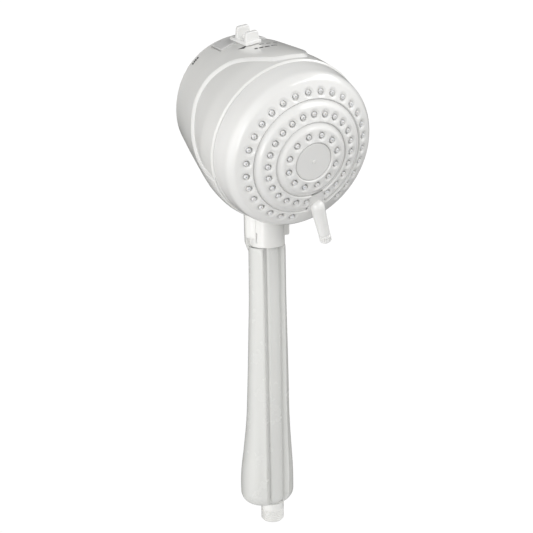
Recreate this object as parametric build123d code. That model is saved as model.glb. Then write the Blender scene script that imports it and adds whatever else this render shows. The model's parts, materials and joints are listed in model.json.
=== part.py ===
from build123d import *
import math
import os

# Handheld shower head with a deep filter drum.
# World frame: origin at the centre of the hose end, +Z up the handle, the spray face looks to -Y.
# The drum is drawn in its own frame: z runs out of the spray face, y points to the top of the drum.

HEAD_Y = -52.0
HEAD_Z = 270.0
FACE_TILT = 17.5
LEVER_ANGLE = 20.0
KNOB_ANGLE = 12.0
SEAM_TURN = 4.5

# drum outline, radius and height in the drum frame
DRUM_OUTLINE = [
    (54.9, -23.2), (55.7, -26.5), (56.0, -31.0), (55.8, -37.5), (55.1, -45.0), (54.1, -53.0),
    (52.8, -62.0), (51.1, -74.0), (49.1, -86.0), (47.2, -97.0),
]
# the middle band lies a step below the rear housing
BAND_OUTLINE = [
    (54.0, -23.2), (54.7, -24.4), (54.8, -27.0), (54.7, -31.0), (54.5, -37.5), (53.8, -45.0), (52.8, -53.0),
    (51.5, -62.0), (49.8, -74.0),
]
DOME_OUTLINE = [(51.7, -8.6), (52.6, -12.5), (53.3, -17.0), (53.9, -22.8)]
WALL = 2.4
BEAD_STEP = 0.65
BEAD_WIDTH = 2.6
DRUM_FRONT = -23.2
DRUM_REAR = -97.0

# side view of the seam between rear housing and middle band: drum y, drum z
# the whole curve is turned about the drum axis by SEAM_TURN
SEAM = [
    (60.0, -29.2), (57.5, -29.2), (56.0, -29.4), (55.4, -30.2), (54.5, -33.5), (53.2, -38.8), (51.3, -45.0),
    (48.9, -51.0), (45.8, -55.9), (41.5, -59.2), (37.3, -61.3), (32.4, -62.7), (27.7, -63.1), (22.7, -63.0),
    (18.4, -62.4), (14.4, -61.3), (9.7, -59.8), (5.5, -58.4), (0.0, -56.6), (-5.5, -54.0), (-10.7, -50.3),
    (-15.0, -45.2), (-17.3, -39.5), (-18.2, -33.5), (-18.5, -28.0), (-18.5, -20.0),
]

# spray face
DOME_SPHERE = 100.0
DOME_CENTRE = -91.57
OUTER_RING = 42.4
OUTER_STEP_DEG = 12.0
MIDDLE_RING = 30.0
MIDDLE_STEP_DEG = 15.0
INNER_RING = 17.5
INNER_STEP_DEG = 30.0
MIDDLE_LIFT = 0.5
INNER_LIFT = 0.9
CUP_R = 2.45
CUP_DEPTH = 1.5
NOZZLE_R = 1.3
NOZZLE_BORE = 0.5
SHELL = 2.5
PIP_R = 1.3

# handle sections: height, half width, half depth, shift to the rear
HANDLE = [
    (202.0, 13.4, 10.0, 0.5), (166.0, 13.7, 10.3, 1.0), (115.0, 15.1, 11.6, 2.3), (78.0, 15.9, 13.2, 3.8),
    (60.0, 17.3, 14.7, 4.9), (46.0, 18.6, 16.0, 5.9), (34.0, 19.8, 17.3, 6.9), (24.0, 19.6, 17.1, 7.0),
]
HANDLE_BOTTOM = 11.0
COLLAR_R = 11.85
COLLAR_LINE = 204.3
THREAD_R = 8.18
THREAD_TOP = 10.4
THREAD_PITCH = 1.337
INLET_NECK_R = 7.2
INLET_BORE = 3.8
TUBE_R = 5.0
TUBE_BORE = 3.9
PLUG_R = 6.6
VALVE_R = 5.0
STRIP_R = 8.5
STRIP_AXIS_Y = -0.8
STRIP_HALF = 5.8
STRIP_FLOOR = -6.8
STRIP_LOW = 15.0
STRIP_HIGH = 203.8

DRUM = Plane(
    origin=(0, HEAD_Y, HEAD_Z), x_dir=(1, 0, 0),
    z_dir=(0, -math.cos(math.radians(FACE_TILT)), -math.sin(math.radians(FACE_TILT))),
)
PIECES = {}


def keep(name, shape, label_in_drum=True):
    """Store a finished piece, moved from the drum frame to the world if needed."""
    PIECES[name] = DRUM.location * shape if label_in_drum else shape


def lathe(points):
    """Solid of revolution about Z from a closed outline of (radius, height)."""
    face = make_face(Polyline(*[(r, 0, z) for r, z in points], close=True))
    return revolve(face, Axis.Z, 360)


def tube(r_out, r_in, z0, z1):
    """Plain ring between two heights."""
    return lathe([(r_in, z0), (r_out, z0), (r_out, z1), (r_in, z1)])


def rod(radius, z0, z1):
    """Plain cylinder between two heights."""
    return Pos(0, 0, (z0 + z1) / 2) * Cylinder(radius, z1 - z0)


def o_ring(r_mid, r_cord, z):
    """Rubber ring of round section."""
    return Pos(0, 0, z) * Torus(r_mid, r_cord)


def spline_lathe(outer, inner):
    """Solid of revolution between two smooth curves joined by straight ends."""
    top = Spline(*[(r, 0, z) for r, z in outer])
    low = Spline(*[(r, 0, z) for r, z in inner])
    ends = [
        Line((outer[0][0], 0, outer[0][1]), (inner[0][0], 0, inner[0][1])),
        Line((outer[-1][0], 0, outer[-1][1]), (inner[-1][0], 0, inner[-1][1])),
    ]
    return revolve(make_face([top, low] + ends), Axis.Z, 360)


def drum_shell(step):
    """Drum wall lying `step` below the outermost skin."""
    outer = [(r - step, z) for r, z in DRUM_OUTLINE]
    inner = [(r - WALL, z) for r, z in DRUM_OUTLINE]
    return spline_lathe(outer, inner)


def band_shell():
    """Wall of the middle band, as far back as the seam reaches."""
    inner = [(r - WALL, z) for r, z in DRUM_OUTLINE if z >= BAND_OUTLINE[-1][1]]
    return spline_lathe(BAND_OUTLINE, inner)


def drum_envelope(inset=0.0):
    """Everything inside the drum skin, used to trim what meets the drum."""
    points = [(r - inset, z) for r, z in DRUM_OUTLINE]
    skin = Spline(*[(r, 0, z) for r, z in points])
    ends = Polyline(
        (points[0][0], 0, DRUM_FRONT), (0, 0, DRUM_FRONT), (0, 0, DRUM_REAR), (points[-1][0], 0, DRUM_REAR),
    )
    return revolve(make_face([skin, ends]), Axis.Z, 360)


def seam_offset(distance):
    """Seam curve moved forward along its own normal."""
    moved = []
    for i, (y, z) in enumerate(SEAM):
        y0, z0 = SEAM[max(i - 1, 0)]
        y1, z1 = SEAM[min(i + 1, len(SEAM) - 1)]
        length = math.hypot(y1 - y0, z1 - z0)
        ny = (z1 - z0) / length
        nz = -(y1 - y0) / length
        moved.append((y + ny * distance, z + nz * distance))
    return moved


def rear_region(distance):
    """Block of space behind the seam, drawn in side view and carried across the drum."""
    curve = seam_offset(distance)
    first = curve[0]
    last = curve[-1]
    spline = Spline(*[(0, y, z) for y, z in curve])
    rest = Polyline(
        (0, last[0], last[1]), (0, -75, last[1]), (0, -75, -120), (0, 75, -120),
        (0, 75, first[1]), (0, first[0], first[1]),
    )
    block = extrude(make_face([spline, rest]), amount=75, dir=(1, 0, 0), both=True)
    return Rot(0, 0, SEAM_TURN) * block


# ---------------------------------------------------------------- drum and neck

SLOT_Z = -85.5
SLOT_HALF_Z = 8.3
SLOT_HALF_DEG = 32.5
SLOT_DEPTH = 1.5
SLIDER_RISE = 0.8
SLIDER_HALF_DEG = 19.0
SLIDER_GAP = 0.5
WINDOW_HALF_DEG = 15.5
WINDOW_HALF_Z = 3.2


def skin_radius(z):
    """Drum radius at a height, by straight lines between outline points."""
    for (r0, z0), (r1, z1) in zip(DRUM_OUTLINE, DRUM_OUTLINE[1:]):
        if z1 <= z <= z0:
            return r0 + (r1 - r0) * (z - z0) / (z1 - z0)
    return DRUM_OUTLINE[-1][0]


def band_ring(depth_out, depth_in, z0, z1):
    """Ring that follows the drum skin between two depths below it."""
    ra = skin_radius(z0)
    rb = skin_radius(z1)
    return lathe([(ra - depth_in, z0), (ra - depth_out, z0), (rb - depth_out, z1), (rb - depth_in, z1)])


def wedge_part(solid, middle_deg, half_deg):
    """Keep the part of a ring within an angle from the top of the drum."""
    half = math.radians(half_deg)
    reach = 130
    wedge = extrude(
        make_face(Polyline((0, 0), (-reach * math.sin(half), reach * math.cos(half)),
                           (reach * math.sin(half), reach * math.cos(half)), close=True)),
        amount=200,
    )
    return solid & (Rot(0, 0, -middle_deg) * (Pos(0, 0, -150) * wedge))


def to_drum(shape):
    """World shape seen from the drum frame."""
    return DRUM.location.inverse() * shape


def make_housing():
    """Rear housing, middle band, the bevel between them and the rear cap."""
    behind = rear_region(0.0)
    behind_bead = rear_region(BEAD_WIDTH)
    skin = drum_shell(0.0)
    housing = skin & behind
    recess = band_ring(-2.0, SLOT_DEPTH, SLOT_Z - SLOT_HALF_Z, SLOT_Z + SLOT_HALF_Z)
    window = band_ring(-2.0, 6.0, SLOT_Z - WINDOW_HALF_Z, SLOT_Z + WINDOW_HALF_Z)
    housing = housing - wedge_part(recess, 0, SLOT_HALF_DEG)
    housing = housing - wedge_part(window, 0, WINDOW_HALF_DEG)
    neck_hole = to_drum(rod(SPIGOT_R, 180, 262))
    ledge = tube(60, 47.5, -33.7, -31.3) & drum_envelope(WALL)
    marks = make_marks()
    keep("setting_marks", Compound(marks))
    housing = ((housing + ledge) - neck_hole) - marks
    keep("rear_housing", housing)

    band = band_shell() - behind_bead
    flange = tube(60, 50.6, -30.5, DRUM_FRONT) & drum_envelope(WALL)
    keep("middle_band", band + flange)
    bead = (drum_shell(BEAD_STEP) & behind_bead) - behind
    keep("seam_bead", bead)

    cap = lathe([(0, -99.5), (40.0, -98.8), (41.2, -90.5), (43.9, -90.5), (43.9, -97.3), (47.0, -97.3),
                 (46.7, -98.3), (45.6, -99.2), (43.0, -100.0), (38.0, -100.7), (0, -101.8)])
    grips = Compound([Rot(0, 0, a) * (Pos(48.3, 0, -101.5) * Cylinder(3.0, 12)) for a in range(0, 360, 15)])
    keep("rear_cap", cap - grips)
    keep("rear_cap_oring", o_ring(44.2, 0.7, -93.5) - tube(43.9, 30, -96, -90))


SPIGOT_R = 8.4
SPIGOT_LIMIT = -33.9
YOKE_FRONT = -5.2
YOKE_SLOPE = 22.0


def make_neck():
    """Spigot, collar and rear yoke that join drum and handle."""
    trim = DRUM.location * drum_envelope()
    ahead = DRUM.location * (drum_envelope() & rod(80, SPIGOT_LIMIT, 0))
    spigot = rod(SPIGOT_R, COLLAR_LINE + 0.2, 238) + rod(PLUG_R, 186, COLLAR_LINE + 0.2)
    keep("neck_spigot", (spigot - rod(TUBE_R, 180, 250)) - ahead, False)
    collar = rod(COLLAR_R, COLLAR_LINE + 0.2, 240) - rod(SPIGOT_R, 180, 262)
    recess = Pos(-COLLAR_R + 0.6, -4.5, 211) * Box(2.4, 1.2, 7)
    collar = (collar - trim) - recess
    keep("neck_collar", collar, False)
    fairing = lathe([(0, 200.6), (13.6, 200.6), (14.8, 203.4), (15.1, 214.0), (15.6, 236.0), (0, 236.0)])
    fairing = fairing & (Pos(0, YOKE_FRONT + 20, 218) * Box(60, 40, 60))
    slope = Pos(0, YOKE_FRONT, 209.0) * (Rot(-YOKE_SLOPE, 0, 0) * (Pos(0, 0, -20) * Box(60, 90, 40)))
    yoke = (fairing - slope) - rod(COLLAR_R, 190, 260) - rod(13.9, 190, COLLAR_LINE)
    yoke = yoke - trim
    keep("neck_yoke", yoke.solids().sort_by(SortBy.VOLUME)[-1], False)


# ---------------------------------------------------------------- spray face

def dome_height(radius, lift=0.0):
    """Height of the face sphere at a radius."""
    return DOME_CENTRE + math.sqrt(DOME_SPHERE ** 2 - radius ** 2) + lift


def ring_angles(step, skip_half):
    """Angles from the lever, leaving out those that fall under it."""
    count = round(360 / step)
    found = []
    for i in range(count):
        angle = i * step
        away = min(angle, 360 - angle)
        if away > skip_half:
            found.append(angle)
    return found


OUTER_ANGLES = ring_angles(OUTER_STEP_DEG, 13.0)
MIDDLE_ANGLES = ring_angles(MIDDLE_STEP_DEG, 1.0)
INNER_ANGLES = ring_angles(INNER_STEP_DEG, -1.0)


def face_point(radius, angle_from_lever):
    """Place on the face; the lever hangs down and is turned toward +X."""
    angle = math.radians(LEVER_ANGLE + angle_from_lever)
    return radius * math.sin(angle), -radius * math.cos(angle)


def drill(solid, radius, angles, lift):
    """Round cups with a through hole for each nozzle."""
    sphere_r = (CUP_R ** 2 + CUP_DEPTH ** 2) / (2 * CUP_DEPTH)
    z = dome_height(radius, lift)
    tilt = math.asin(radius / DOME_SPHERE)
    tools = []
    for a in angles:
        x, y = face_point(radius, a)
        lean = (radius + math.sin(tilt) * (sphere_r - CUP_DEPTH)) / radius
        tools.append(Pos(x * lean, y * lean, z + math.cos(tilt) * (sphere_r - CUP_DEPTH)) * Sphere(sphere_r))
        tools.append(Pos(x, y, z) * Cylinder(NOZZLE_R, 14))
    return solid - tools


def nozzles(radius, angles, lift):
    """Rubber jets of one ring, as separate solids."""
    z = dome_height(radius, lift)
    jet = lathe([
        (NOZZLE_BORE, z - 5.6), (2.0, z - 5.6), (2.0, z - 4.6), (NOZZLE_R, z - 4.6), (NOZZLE_R, z - 0.5),
        (NOZZLE_R - 0.15, z - 0.2), (NOZZLE_R - 0.45, z - 0.05), (NOZZLE_BORE, z - 0.05),
    ])
    return Compound([Pos(*face_point(radius, a), 0) * jet for a in angles])


def dome_points():
    """Front outline of the outer dome from its inner edge to the rim."""
    front = [(r, dome_height(r)) for r in (38.4, 41.0, 44.0, 46.5, 48.3)]
    return front + [(50.3, -6.2)] + DOME_OUTLINE


LEVER_ROOT_R = 37.3
LEVER_END_R = 63.5


def lever_axis():
    """Root and end of the lever in the drum frame."""
    root = face_point(LEVER_ROOT_R, 0)
    end = face_point(LEVER_END_R, 0)
    return Vector(root[0], root[1], 2.2), Vector(end[0], end[1], 5.8)


def cone_between(a, b, r_a, r_b):
    """Round bar from point a to point b."""
    along = b - a
    place = Plane(origin=a, z_dir=along)
    bar = Cone(r_a, r_b, along.length, align=(Align.CENTER, Align.CENTER, Align.MIN))
    return place.location * bar


def make_lever():
    """Spray selector lever with a ball root and a ridged end cap."""
    root, end = lever_axis()
    along = (end - root).normalized()
    shaft_end = end - along * 5.2
    ball = Pos(root.X, root.Y, root.Z) * Sphere(4.9)
    lever = ball + cone_between(root, shaft_end, 4.2, 3.75)
    tip = cone_between(shaft_end, end, 3.95, 3.75)
    place = Plane(origin=shaft_end, z_dir=along)
    flutes = [place.location * (Rot(0, 0, a) * (Pos(4.25, 0, 3.2) * Cylinder(0.55, 5.0))) for a in range(0, 360, 30)]
    tip = tip - flutes
    stem = cone_between(shaft_end - along * 6, shaft_end + along * 3, 1.4, 1.6)
    return lever - stem, (tip + stem).solids().sort_by(SortBy.VOLUME)[-1]


def make_face_parts():
    """Dome, discs, nozzles, cap, lever and the chamber plate behind them."""
    lever, tip = make_lever()
    outer = dome_points()
    inner = [(38.4, dome_height(38.4) - SHELL), (41.5, dome_height(41.5) - SHELL), (44.8, dome_height(44.8) - SHELL),
             (47.0, -6.3), (48.7, -9.2), (49.9, -13.0), (50.9, -17.5), (51.9, -22.8)]
    dome = spline_lathe(outer, inner)
    seat = tube(38.4, 36.4, dome_height(38.4) - SHELL, dome_height(38.4) - SHELL + 0.9)
    tongue_outer = [(r, dome_height(r) - 0.6) for r in (26.4, 30.0, 34.0, 38.5)]
    tongue_inner = [(r, z - SHELL + 0.4) for r, z in tongue_outer]
    tongue = wedge_part(spline_lathe(tongue_outer, tongue_inner), 180 - LEVER_ANGLE, NOTCH_HALF_DEG)
    dome = (dome + seat + tongue) - lever
    dome = drill(dome, OUTER_RING, OUTER_ANGLES, 0)
    keep("face_dome", dome)

    z_out = dome_height(38.2)
    middle = lathe([
        (37.9, z_out - 1.6), (37.9, z_out - 1.05), (37.5, z_out - 0.8), (34.2, dome_height(34.2, MIDDLE_LIFT)),
        (33.0, dome_height(33.0, MIDDLE_LIFT)), (30.0, dome_height(30.0, MIDDLE_LIFT)),
        (27.0, dome_height(27.0, MIDDLE_LIFT)), (25.3, dome_height(25.3, MIDDLE_LIFT)),
        (25.0, dome_height(25.0, MIDDLE_LIFT) - 0.3), (25.0, dome_height(25.0) - 2.4),
        (27.0, dome_height(27.0) - 2.4), (30.0, dome_height(30.0) - 2.4), (34.0, dome_height(34.0) - 2.4),
    ])
    notch = wedge_part(tube(45, 26.0, -12, 12), 180 - LEVER_ANGLE, NOTCH_HALF_DEG + 0.3)
    middle = middle - notch
    middle = drill(middle, MIDDLE_RING, MIDDLE_ANGLES, MIDDLE_LIFT)
    keep("middle_disc", middle - lever)

    z_in = dome_height(24.6)
    inner_disc = lathe([
        (24.9, z_in - 2.2), (24.9, z_in - 0.9), (24.3, z_in - 0.4), (20.6, dome_height(20.6, INNER_LIFT)),
        (17.5, dome_height(17.5, INNER_LIFT)), (14.5, dome_height(14.5, INNER_LIFT)),
        (13.2, dome_height(13.2, INNER_LIFT)), (12.6, dome_height(13.2, INNER_LIFT) - 0.35),
        (12.6, dome_height(12.6) - 2.2), (17.5, dome_height(17.5) - 2.2), (21.0, dome_height(21.0) - 2.2),
    ])
    keep("inner_disc", drill(inner_disc, INNER_RING, INNER_ANGLES, INNER_LIFT))

    cap_top = dome_height(12.6) + 0.25
    cap = lathe([(0, cap_top), (12.0, cap_top), (12.4, cap_top - 0.4), (12.4, cap_top - 2.0), (4.0, cap_top - 2.2),
                 (3.0, cap_top - 4.0), (3.0, -9.0), (2.0, -9.6), (0, -9.6)])
    keep("centre_cap", cap - Pos(0, 0, cap_top) * Cylinder(PIP_R, 0.8))
    keep("centre_pip", lathe([(0, cap_top - 0.4), (PIP_R, cap_top - 0.4), (PIP_R, cap_top + 0.1),
                              (PIP_R - 0.4, cap_top + 0.35), (0, cap_top + 0.4)]))
    keep("outer_nozzles", nozzles(OUTER_RING, OUTER_ANGLES, 0))
    keep("middle_nozzles", nozzles(MIDDLE_RING, MIDDLE_ANGLES, MIDDLE_LIFT))
    keep("inner_nozzles", nozzles(INNER_RING, INNER_ANGLES, INNER_LIFT))
    keep("selector_lever", lever)
    keep("lever_tip", tip)


NOTCH_HALF_DEG = 9.5
PLATE_REAR = -30.5
PLATE_FRONT = -27.5


def make_water_side():
    """Chamber plate, walls, pivot and turbine behind the spray face."""
    plate = tube(48.3, 5.0, -16.0, -13.2)
    hub = tube(9.5, 6.05, -25.5, -16.0)
    plate = plate + hub
    ports = [Pos(*face_point(r, a), -14.6) * Cylinder(2.6, 5) for r, a in ((20, 40), (20, 160), (20, 280),
                                                                        (31.5, 80), (31.5, 200), (43, 120), (43, 300))]
    keep("face_backplate", plate - ports)
    low_wall = tube(38.2, 36.8, -13.2, dome_height(38.4) - SHELL - 0.1)
    mid_wall = tube(25.6, 24.2, -13.2, dome_height(25.6) - 2.8)
    keep("chamber_walls", Compound([low_wall - make_lever()[0], mid_wall]))
    keep("hub_oring", o_ring(10.3, 0.8, -20.0))
    bladed = tube(5.2, 3.05, -8.4, 1.5)
    rim = tube(16.6, 15.4, -6.0, -1.0)
    blades = [Rot(0, 0, a) * (Pos(10.3, 0, -3.5) * (Rot(28, 0, 0) * Box(10.9, 0.9, 4.6))) for a in range(0, 360, 45)]
    keep("massage_turbine", (bladed + rim) + blades)

    shaft = tube(6.0, 2.0, PLATE_REAR, -17.6) + tube(11.0, 2.0, PLATE_REAR, -28.6)
    keep("pivot_shaft", shaft)
    screw = rod(4.6, -17.6, -15.0) + rod(2.0, PLATE_REAR + 1, -17.6)
    cross = Pos(0, 0, -15.4) * (Box(5, 1, 1.6) + Box(1, 5, 1.6))
    keep("pivot_screw", screw - cross)
    valve = tube(50.4, 6.0, PLATE_REAR, PLATE_FRONT) - rod(11.0, PLATE_REAR - 1, -28.6)
    spots = [(20 * math.sin(math.radians(a)), -20 * math.cos(math.radians(a))) for a in (0, 120, 240)]
    valve = valve - [Pos(x, y, PLATE_REAR) * Cylinder(3.4, 12) for x, y in spots]
    keep("valve_plate", valve)
    keep("port_seals", Compound([Pos(x, y, 0) * tube(5.0, 3.4, PLATE_FRONT, -26.2) for x, y in spots]))
    keep("valve_plate_seal", tube(50.4, 48.4, PLATE_REAR - 0.8, PLATE_REAR))


# ---------------------------------------------------------------- filter cartridge

def make_cartridge():
    """Removable filter inside the drum."""
    case = tube(35.0, 33.2, -92.0, -38.0)
    slots = [Rot(0, 0, a) * (Pos(34, 0, z) * Box(6, 3, 12)) for a in range(0, 360, 30) for z in (-83, -66, -49)]
    keep("cartridge_case", case - slots)
    keep("filter_media", tube(33.2, 9.0, -90.4, -40.0))
    keep("cartridge_core", tube(9.0, 7.6, -90.4, -40.0))
    keep("cartridge_front_cap", tube(33.2, 7.6, -40.0, -38.0) + tube(9.6, 7.6, -38.0, -32.0))
    keep("cartridge_rear_cap", rod(33.2, -92.0, -90.4) + tube(20, 18.6, -98.6, -92.0))
    keep("cartridge_oring", o_ring(10.4, 0.8, -34.5))
    keep("cartridge_seat", tube(14.5, 11.2, -37.0, PLATE_REAR))


# ---------------------------------------------------------------- bypass selector

SADDLE_REAR = -88.0
SADDLE_FRONT = -62.6
SADDLE_HALF_DEG = 6.2
FIN_Z = (-66.2, -78.2)
FIN_TOP_R = 60.6
FIN_TOP_HALF = 4.1
FIN_FOOT_R = 51.0
FIN_FOOT_HALF = 5.6
FIN_THICK = 2.8
RING_HALF_Z = 4.5


def make_bypass():
    """Knob with two fins, the curved slider under it and the ring inside the drum."""
    z0 = SLOT_Z - SLOT_HALF_Z + SLIDER_GAP
    z1 = SLOT_Z + SLOT_HALF_Z - SLIDER_GAP
    slider = wedge_part(band_ring(-SLIDER_RISE, SLOT_DEPTH - 0.2, z0, z1), -KNOB_ANGLE, SLIDER_HALF_DEG)
    keep("slider_plate", slider)
    ring = band_ring(WALL + 1.0, WALL + 2.6, SLOT_Z - RING_HALF_Z, SLOT_Z + RING_HALF_Z)
    keep("bypass_ring", ring)
    saddle = wedge_part(band_ring(-2.9, -0.5, SADDLE_REAR, SADDLE_FRONT), 0, SADDLE_HALF_DEG)
    outline = Polyline((-FIN_FOOT_HALF, FIN_FOOT_R), (-FIN_TOP_HALF, FIN_TOP_R), (FIN_TOP_HALF, FIN_TOP_R),
                       (FIN_FOOT_HALF, FIN_FOOT_R), close=True)
    fin = extrude(make_face(outline), amount=FIN_THICK)
    fin = fillet(fin.edges().filter_by(Axis.Z).group_by(Axis.Y)[-1], 1.4)
    fins = [Pos(0, 0, z - FIN_THICK / 2) * fin for z in FIN_Z]
    under = band_ring(4.0, -0.5, SADDLE_REAR - 1, SADDLE_FRONT + 1)
    web = Pos(0, 54.0, sum(FIN_Z) / 2) * Box(2.4, 3.6, FIN_Z[0] - FIN_Z[1])
    stem = Pos(0, skin_radius(SLOT_Z) - 0.8, SLOT_Z) * Box(4.4, 6.4, 5.2)
    knob = saddle + (Compound(fins) - under) + (web - under) + stem
    knob = Rot(0, 0, KNOB_ANGLE) * knob
    knob = knob - slider - ring
    knob = knob.solids().sort_by(SortBy.VOLUME)[-1]
    keep("bypass_knob", knob)


# angle from the top, height, width and height of each mark
MARKS = [
    (-20.4, -63.8, 6.2, 3.4), (-15.5, -54.3, 2.2, 1.9), (-12.3, -53.3, 2.8, 1.7), (-8.1, -52.5, 3.4, 1.4),
    (-2.3, -53.3, 4.4, 1.1), (-7.8, -60.4, 3.2, 1.0), (-2.3, -60.5, 3.0, 1.0), (3.5, -61.0, 3.0, 1.0),
    (-46.0, -93.5, 1.3, 2.4), (-48.2, -93.5, 1.1, 2.4), (-50.0, -93.5, 1.0, 2.4), (-51.9, -93.5, 1.2, 2.4),
]


def make_marks():
    """Generic setting marks moulded on the housing in front of the slot."""
    marks = []
    for angle, z, width, height in MARKS:
        ring = band_ring(-0.15, 0.25, z - height / 2, z + height / 2)
        half = math.degrees(width / 2 / skin_radius(z))
        marks.append(wedge_part(ring, angle, half))
    return marks


# ---------------------------------------------------------------- handle

SECTION_STEP = 12.0
FOOT_ROUND = 8.0

def handle_section(z, half_x, half_y, shift):
    """One oval slice of the handle."""
    return Pos(0, shift, z) * Ellipse(half_x, half_y)


def handle_size(z):
    """Half width, half depth and rear shift at a height, blended smoothly between the listed sections."""
    for low, high in zip(HANDLE[1:], HANDLE):
        if low[0] <= z <= high[0]:
            t = (z - low[0]) / (high[0] - low[0])
            return [u + (v - u) * t for u, v in zip(low[1:], high[1:])]
    return list(HANDLE[-1][1:])


def handle_solid(inset, z_low, z_high):
    """Lofted handle body, drawn smaller by the inset; sections are evenly spaced."""
    slices = []
    steps = round((z_high - z_low) / SECTION_STEP)
    for i in range(steps + 1):
        z = z_low + (z_high - z_low) * i / steps
        near = [handle_size(min(max(z + d, HANDLE[-1][0]), HANDLE[0][0])) for d in (-8, -4, 0, 4, 8)]
        half_x, half_y, shift = [sum(v) / len(v) for v in zip(*near)]
        slices.append(handle_section(z, half_x - inset, half_y - inset, shift))
    return loft(slices)


def groove_cut(side):
    """Sloping flank beside the front strip."""
    outline = Polyline((side * STRIP_HALF, STRIP_FLOOR), (side * (STRIP_HALF + 0.3), STRIP_FLOOR),
                       (side * (STRIP_HALF + 5.3), STRIP_FLOOR - 4.0), (side * STRIP_HALF, STRIP_FLOOR - 6.0), close=True)
    return Pos(0, 0, STRIP_LOW) * extrude(make_face(outline), amount=STRIP_HIGH - STRIP_LOW)


def make_handle():
    """Hollow grip shell and the raised strip let into its front."""
    outer = handle_solid(0, HANDLE_BOTTOM, COLLAR_LINE - 0.5)
    foot = outer.faces().sort_by(Axis.Z)[0].edges()
    outer = fillet(foot, FOOT_ROUND)
    inner = handle_solid(WALL + 0.2, 32.0, 186.0)
    strip_middle = (STRIP_LOW + STRIP_HIGH) / 2
    channel = Pos(0, STRIP_FLOOR - 6.0, strip_middle) * Box(2 * STRIP_HALF, 12.0, STRIP_HIGH - STRIP_LOW)
    behind_strip = Pos(0, STRIP_FLOOR + 0.2 - 6.0, 107.0) * Box(2 * STRIP_HALF + 7.0, 15.0, 186.0)
    inner = inner - behind_strip
    shell = (outer - inner) - channel - groove_cut(1) - groove_cut(-1)
    shell = shell - rod(PLUG_R, 5, 206) - rod(INLET_NECK_R, 5, 14.5)
    keep("handle_shell", shell.solids().sort_by(SortBy.VOLUME)[-1], False)
    strip = (Pos(0, STRIP_AXIS_Y, strip_middle) * Cylinder(STRIP_R, STRIP_HIGH - STRIP_LOW)) & channel
    keep("handle_front_strip", strip, False)
    keep("flow_tube", rod(TUBE_R, 47.0, 228.0) - rod(TUBE_BORE, 40.0, 250.0), False)
    rings = [Pos(0, 0, z) * (Torus(TUBE_R, 0.9) - Cylinder(TUBE_R, 4)) for z in (176.0, 181.0)]
    keep("tube_orings", Compound(rings), False)
    braces = [(Pos(0, 0, z) * (Cylinder(60, 2.0) - Cylinder(TUBE_R, 4))) & inner for z in (80.0, 120.0, 160.0)]
    keep("tube_braces", Compound([b.solids().sort_by(SortBy.VOLUME)[-1] for b in braces]), False)


# ---------------------------------------------------------------- hose end and check valve

SCREEN_R = 6.0
SPRING_WIRE = 0.35
SPRING_TURNS = 6.0

def make_inlet():
    """Threaded inlet, screen, restrictor and check valve in the foot of the handle."""
    body = rod(INLET_NECK_R, THREAD_TOP, 14.5) + rod(THREAD_R, 1.2, THREAD_TOP) + rod(PLUG_R, 14.5, 46.0)
    body = body + lathe([(0, 0), (THREAD_R - 1.15, 0), (THREAD_R, 1.2), (0, 1.2)])
    grooves = [Pos(0, 0, 2.0 + i * THREAD_PITCH) * lathe([(THREAD_R - 0.7, 0), (THREAD_R + 0.35, -0.42),
               (THREAD_R + 0.35, 0.42)]) for i in range(6)]
    body = body - grooves
    body = body - rod(SCREEN_R, -1.0, 4.0) - rod(INLET_BORE, -1.0, 14.0) - rod(VALVE_R, 14.0, 47.0)
    keep("inlet_connector", body, False)
    screen = tube(SCREEN_R, 5.0, 2.6, 4.0)
    bars = [Pos(x, 0, 3.2) * Box(0.5, 10.4, 0.6) for x in (-4, -2, 0, 2, 4)]
    cross = [Pos(0, y, 3.2) * Box(10.4, 0.5, 0.6) for y in (-4, -2, 0, 2, 4)]
    keep("inlet_screen", screen + [(b & rod(5.2, 2.0, 5.0)) for b in bars + cross], False)
    keep("flow_restrictor", tube(VALVE_R, 1.8, 14.0, 17.0), False)
    keep("restrictor_oring", Pos(0, 0, 17.4) * Torus(3.0, 0.4), False)
    valve = tube(VALVE_R, 4.2, 18.0, 46.0) + tube(4.2, 2.6, 18.0, 20.0) + tube(4.2, 1.6, 43.5, 46.0)
    vents = [Rot(0, 0, a) * (Pos(3.0, 0, 44) * Cylinder(0.7, 6)) for a in range(0, 360, 60)]
    keep("check_valve_body", valve - vents, False)
    keep("valve_poppet", rod(3.5, 20.9, 22.6) + rod(1.55, 22.6, 44.6), False)
    keep("poppet_seal", lathe([(0, 20.05), (2.5, 20.05), (3.4, 20.9), (0, 20.9)]), False)
    bottom = 22.65 + SPRING_WIRE
    height = 43.45 - SPRING_WIRE - bottom
    path = Helix(pitch=height / SPRING_TURNS, height=height, radius=2.5)
    wire = sweep(Plane(origin=path @ 0, z_dir=path % 0) * Circle(SPRING_WIRE), path=path)
    keep("poppet_spring", Pos(0, 0, bottom) * wire, False)


make_neck()
make_housing()
make_face_parts()
make_water_side()
make_cartridge()
make_bypass()
make_handle()
make_inlet()

os.makedirs("parts", exist_ok=True)
for name, shape in PIECES.items():
    shape.label = name
    export_step(shape, "parts/" + name + ".step")
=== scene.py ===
import json
import math
import bpy
import numpy as np
from mathutils import Matrix, Vector


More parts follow.
